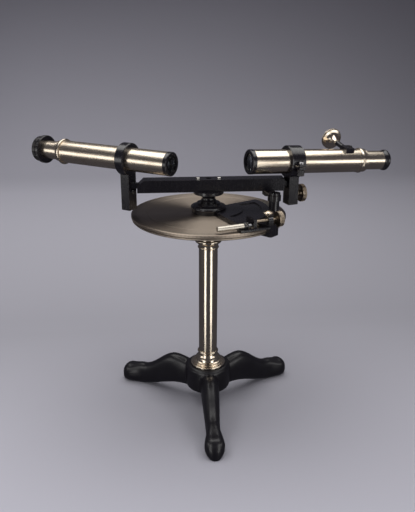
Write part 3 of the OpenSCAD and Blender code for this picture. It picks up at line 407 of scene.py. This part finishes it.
def leg_section(r, sides=48):
    """One ring of a leg at the radius r."""
    tip_r = FOOT_W / 2
    tip = 1 if r <= FOOT_REACH else math.sqrt(max(0.0004, 1 - ((r - FOOT_REACH) / tip_r) ** 2))
    if r < CREST_R:
        top = glide(r, LEG_START, LEG_START_H, CREST_R, CREST_H)
    elif r < NECK_R:
        top = glide(r, CREST_R, CREST_H, NECK_R, NECK_H)
    else:
        top = glide(r, NECK_R, NECK_H, FOOT_REACH, FOOT_H)
    top *= 0.35 + 0.65 * tip
    low = glide(r, ARCH_R, ARCH_H, FOOT_REACH - tip_r, SOLE_H)
    if r < NECK_R:
        half = glide(r, ROOT_R, ROOT_W / 2, NECK_R, NECK_W / 2)
    else:
        half = glide(r, NECK_R, NECK_W / 2, FOOT_REACH, FOOT_W / 2)
    ring = []
    for k in range(sides):
        a = 2 * math.pi * k / sides
        c, s = (math.copysign(abs(v) ** SECTION_POWER, v) for v in (math.cos(a), math.sin(a)))
        ring.append((r, half * tip * c, max(0.0, (top + low) / 2 + (top - low) / 2 * s)))
    return ring


def leg(bm, turn):
    """One leg with its foot, at a turn in degrees about the pillar."""
    stations = [LEG_START + (FOOT_REACH - LEG_START) * i / LEG_STATIONS
                for i in range(LEG_STATIONS + 1)]
    stations += [FOOT_REACH + FOOT_W / 2 * math.sin(math.pi / 2 * i / TIP_STATIONS) * 0.9995
                 for i in range(1, TIP_STATIONS + 1)]
    spin = Matrix.Rotation(math.radians(turn), 4, "Z")
    sweep(bm, [[spin @ Vector((x * MM, y * MM, z * MM + FLOOR_Z)) for x, y, z in leg_section(r)]
               for r in stations])


def boss(bm):
    """The hub: rounded edges above and below, and the recess for the pillar's foot."""
    low, top = BOSS_LOW_FILLET, BOSS_TOP_FILLET
    profile = [(CORE_R, BOSS_LOW), (10, BOSS_LOW)]
    profile += curve(BOSS_R - low, BOSS_LOW + low, low, -90, 0, 6)
    profile += curve(BOSS_R - top, BOSS_TOP - top - BOSS_TOP_EASE, top, 0, 90, 6)
    profile += [(BOSS_R - 3, BOSS_TOP), (SEAT_R, BOSS_TOP)]
    profile += [(SEAT_R, BOSS_TOP - SEAT_DEEP), (CORE_R, BOSS_TOP - SEAT_DEEP)]
    lathe(bm, above_table(profile))


def casting(name, material):
    """Legs and hub melted into one casting with soft fillets."""
    def build(bm):
        for i in range(3):
            leg(bm, TRIPOD_TURN + 120 * i)
        boss(bm)
    piece = add_piece(name, build, "stand", material, 60)
    melt = piece.modifiers.new("melt", "REMESH")
    melt.mode = "VOXEL"
    melt.voxel_size = MELT_VOXEL
    soften = piece.modifiers.new("soften", "SMOOTH")
    soften.factor = 0.6
    soften.iterations = 7
    depsgraph = bpy.context.evaluated_depsgraph_get()
    melted = bpy.data.meshes.new_from_object(piece.evaluated_get(depsgraph))
    piece.modifiers.clear()
    piece.data = melted
    melted.shade_smooth()
    low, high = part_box("tripod_base")
    for v in melted.vertices:
        v.co = Vector([min(max(c, a), b) for c, a, b in zip(v.co, low, high)])
        if v.co.z < FLOOR_Z + CUT_FLAT:
            v.co.z = FLOOR_Z
    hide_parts("tripod_base")


# ---------- turnings on the pillar ----------

PILLAR_R = 11.2
FLANGE_R, TIER_R, UPPER_TIER_R = 20.5, 19.1, 17.3
BEAD_H = 69.4                              # the foot's bead, above the table
CAPITAL_Z = -15.1                          # underside of the CAD's capital
BELL_Z = -43.6                             # lowest point of the bell
RING_Z, RING_R = -33.6, 15.2               # ring between the bell's two hollows


def turned_foot(material):
    """Flange, tier, ogee neck and bead where the pillar stands on the hub."""
    seat, spigot_r = BOSS_TOP - SEAT_DEEP, SEAT_R - 0.2
    profile = [(CORE_R, seat), (spigot_r, seat), (spigot_r, BOSS_TOP), (FLANGE_R, BOSS_TOP)]
    profile += curve(FLANGE_R, BOSS_TOP + 1, 1, -90, 90)
    profile += [(TIER_R, 56.0), (TIER_R, 57.3), (UPPER_TIER_R, 57.8), (UPPER_TIER_R, 59.4)]
    profile += [(PILLAR_R + 4.4, 60.0)] + curve(PILLAR_R + 9.2, BEAD_H, 8.6, 232, 187)
    profile += curve(PILLAR_R + 0.3, BEAD_H + 1.3, 1.4, -40, 90) + [(CORE_R, BEAD_H + 2.7)]
    piece = add_piece("pillar_foot_turning", lambda bm: lathe(bm, above_table(profile)),
                      "stand", material, 30)
    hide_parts("pillar_foot")


def bell(material):
    """Bell of the capital, under the circle: bead, cavetto, ring and neck."""
    bore_r = PILLAR_R - 0.4
    profile = [(bore_r, BELL_Z)] + curve(PILLAR_R + 0.3, BELL_Z + 1, 1, -80, 80)
    profile += [(PILLAR_R + 0.5, -41.2)] + curve(PILLAR_R + 5.6, -41.0, 5.2, 172, 108)
    profile += [(15.4, -35.0)] + curve(RING_R, RING_Z, 1.2, -80, 80) + [(14.0, -32.0)]
    profile += curve(PILLAR_R + 5.4, -24.0, 4.0, 220, 140)
    profile += [(14.6, CAPITAL_Z), (bore_r, CAPITAL_Z)]
    add_piece("capital_bell", lambda bm: lathe(bm, profile), "stand", material,
              30)


# ---------- materials on the CAD nodes ----------

def dress_all():
    """Dresses every node, and adds the pieces that scene.py makes."""
    pillar = brass("brass_pillar", UP, 0.2, 0.3)
    collimator = brass("brass_collimator", COLLIMATOR_AXIS, 0.27, 0.4)
    scope = brass("brass_telescope", SCOPE_AXIS, 0.22, 0.3)
    small = brass("brass_small", UP, 0.2, 0.25)
    black = lacquer("lacquer_black")
    dress(pillar, "pillar_foot", "pillar_tube", "pillar_capital")
    dress(collimator, "collimator_tube", "collimator_collar", "slit_tube")
    dress(scope, "telescope_tube", "telescope_end_ring", "draw_tube", "reticle_ring")
    dress(small, "clamp_screw", "clamp_shoe", "focus_knob")
    dress(brass("brass_knobs", UP, 0.3, 0.7, dull=0.7), "swivel_knob", "tangent_screw")
    dress(black, "vernier_hub", "beam_flange", "beam", "clamp_block", "clamp_bridge",
          "reader_bracket", "reader_thumb_screw", "reader_tube", "collimator_bracket",
          "collimator_lens_cell", "slit_head", "slit_ring", "slit_cap", "telescope_bracket",
          "telescope_ring_screw", "objective_cell", "pinion_box", "box_screw", "eyepiece_tube",
          "eyepiece_cap", "vernier_plate")
    dress(steel("steel_bright"), "tie_rod", "tie_rod_nut", "circle_screws", "centre_spindle",
          "spindle_washer", "collimator_pivot_pin", "telescope_pivot_pin", "barrel_spring",
          "spring_plunger", "collimator_set_screw", "slit_jaw", "focus_pinion", "focus_rack",
          "telescope_ring_nut")
    dress(steel("steel_screws", BRIGHT_STEEL, 0.2), "beam_screws")
    dress(steel("silver_barrel", SILVERED, 0.42), "spring_barrel")
    dress(divided("circle_metal", CIRCLE_METAL, CIRCLE_OLD, 0.36, CIRCLE_DIVISIONS),
          "divided_circle")
    dress(divided("vernier_metal", VERNIER_METAL, VERNIER_OLD, 0.4, VERNIER_DIVISIONS),
          "vernier_scale")
    dress(glass("lens_glass"), "reader_lens", "collimator_lens", "objective_lens", "field_lens",
          "eye_lens")
    turned_foot(pillar)
    bell(pillar)
    casting("tripod_casting", lacquer("lacquer_cast", rough=0.36, wear=0.3, cast=0.06, coat=0.12))


# ---------- studio ----------

# near and far are the paper's own pale tone; mid, side and high are painted shade, darker at mid
# depth, to the right and upwards
PAPER_NEAR, PAPER_SHADED_MID, PAPER_FAR = rgb(226, 225, 238), rgb(178, 177, 187), rgb(232, 231, 243)
PAPER_SHADED_SIDE, PAPER_SHADED_HIGH = rgb(104, 102, 112), rgb(126, 124, 133)
SWEEP_FRONT, SWEEP_BACK, SWEEP_BEND, SWEEP_WALL, SWEEP_HALF = -3.0, 1.3, 0.7, 3.2, 4.5
BEND_STEPS = 24


def backdrop():
    """Pale floor that curves up into the wall behind, with painted shade: darker at mid depth, to
    the right and upwards.
    """
    def build(bm):
        line = [(SWEEP_FRONT, 0), (0, 0), (SWEEP_BACK, 0)]
        for i in range(1, BEND_STEPS + 1):
            a = math.pi / 2 * i / BEND_STEPS
            line.append((SWEEP_BACK + SWEEP_BEND * math.sin(a), SWEEP_BEND * (1 - math.cos(a))))
        line.append((SWEEP_BACK + SWEEP_BEND, SWEEP_WALL))
        rows = [[bm.verts.new((x, y, FLOOR_Z + z)) for x in (-SWEEP_HALF, SWEEP_HALF)]
                for y, z in line]
        for a, b in zip(rows, rows[1:]):
            bm.faces.new((a[0], a[1], b[1], b[0]))
    s = Shader("studio_paper")
    split = s.node("ShaderNodeSeparateXYZ")
    s.join(s.place, split.inputs[0])
    side, depth, height = split.outputs
    # painted shade: the paper's colour darkens at mid depth, to the right and upwards
    paper = s.mix(s.span(depth, -0.35, 0.2), PAPER_NEAR, PAPER_SHADED_MID)
    paper = s.mix(s.span(depth, 0.25, 1.1), paper, PAPER_FAR)
    paper = s.mix(s.span(side, -0.5, 1.3, 0.0, 0.5), paper, PAPER_SHADED_SIDE)
    s.join(s.mix(s.span(height, FLOOR_Z, 0.5), paper, PAPER_SHADED_HIGH), s.bsdf.inputs["Base Color"])
    s.bsdf.inputs["Roughness"].default_value = 0.9
    piece = new_object("studio_sweep", build, s.material)
    piece.visible_glossy = False           # the metals reflect the lamps and the dark air alone


LAMP_WHITE = (1.0, 0.99, 0.97)
AIR, AIR_GLOW = rgb(96, 95, 104), 0.45

# upright lamps at 1 m: azimuth in degrees, lowest and highest point, width, brightness
STRIPS = {
    "strip_left": (-130, -0.68, 0.40, 0.34, 2.4),        # the pillar's left stripe
    "strip_right": (-57, -0.68, 0.40, 0.34, 2.4),        # the pillar's right stripe
    "strip_far_left": (-163, -0.12, 0.20, 0.50, 2.0),    # the tubes' lower stripes
    "strip_far_right": (-32, -0.12, 0.20, 0.40, 2.0),
}
SKY_AT, SKY_SIZE, SKY_GLOW = Vector((0, 0.18, 1.0)), (1.7, 1.2), 2.3   # the tubes' upper stripes


def softbox(name, place, facing, size, glow):
    """A rectangular lamp; glow is its brightness, whatever its size."""
    light = bpy.data.lights.new(name, "AREA")
    light.shape = "RECTANGLE"
    light.size, light.size_y = size
    light.energy = glow * math.pi * size[0] * size[1]
    light.color = LAMP_WHITE
    lamp = bpy.data.objects.new(name, light)
    lamp.location = place
    lamp.rotation_mode = "QUATERNION"
    lamp.rotation_quaternion = facing.to_track_quat("-Z", "Y")
    bpy.context.scene.collection.objects.link(lamp)


def studio():
    """Backdrop, lamps, dim air and the view transform."""
    backdrop()
    for name, (azimuth, low, high, width, glow) in STRIPS.items():
        turn = math.radians(azimuth)
        outward = Vector((math.cos(turn), math.sin(turn), 0))
        softbox(name, outward + UP * (low + high) / 2, -outward, (width, high - low), glow)
    softbox("sky", SKY_AT, -UP, SKY_SIZE, SKY_GLOW)
    world = bpy.data.worlds.new("studio_air")
    world.use_nodes = True
    world.node_tree.nodes["Background"].inputs[0].default_value = AIR
    world.node_tree.nodes["Background"].inputs[1].default_value = AIR_GLOW
    bpy.context.scene.world = world
    bpy.context.scene.view_settings.view_transform = "Standard"


# ---------- camera, solved from the photograph ----------

CAMERA_AT = Vector((-0.0632, -0.6900, 0.1977))
CAMERA_TURN = math.radians(5.23)
CAMERA_PITCH = math.radians(20.12)
CAMERA_ROLL = 0.004
PHOTO_HEIGHT = 512                         # pixels; the next two are in the same pixels
FOCAL_LENGTH = 621.307
SHIFT_X, SHIFT_Y = -0.746, 1.172
SENSOR = 36


def camera():
    """The photograph's view."""
    data = bpy.data.cameras.new("camera")
    data.lens = FOCAL_LENGTH / PHOTO_HEIGHT * SENSOR
    data.sensor_width = SENSOR
    data.shift_x = SHIFT_X / PHOTO_HEIGHT
    data.shift_y = SHIFT_Y / PHOTO_HEIGHT
    data.clip_start = 0.02
    data.clip_end = 20
    seen_from = bpy.data.objects.new("camera", data)
    bpy.context.scene.collection.objects.link(seen_from)
    turn = (Matrix.Rotation(-CAMERA_TURN, 4, "Z")
            @ Matrix.Rotation(math.pi / 2 - CAMERA_PITCH, 4, "X")
            @ Matrix.Rotation(CAMERA_ROLL, 4, "Z"))
    seen_from.matrix_world = Matrix.Translation(CAMERA_AT) @ turn
    bpy.context.scene.camera = seen_from


dress_all()
studio()
camera()
bpy.context.view_layer.update()
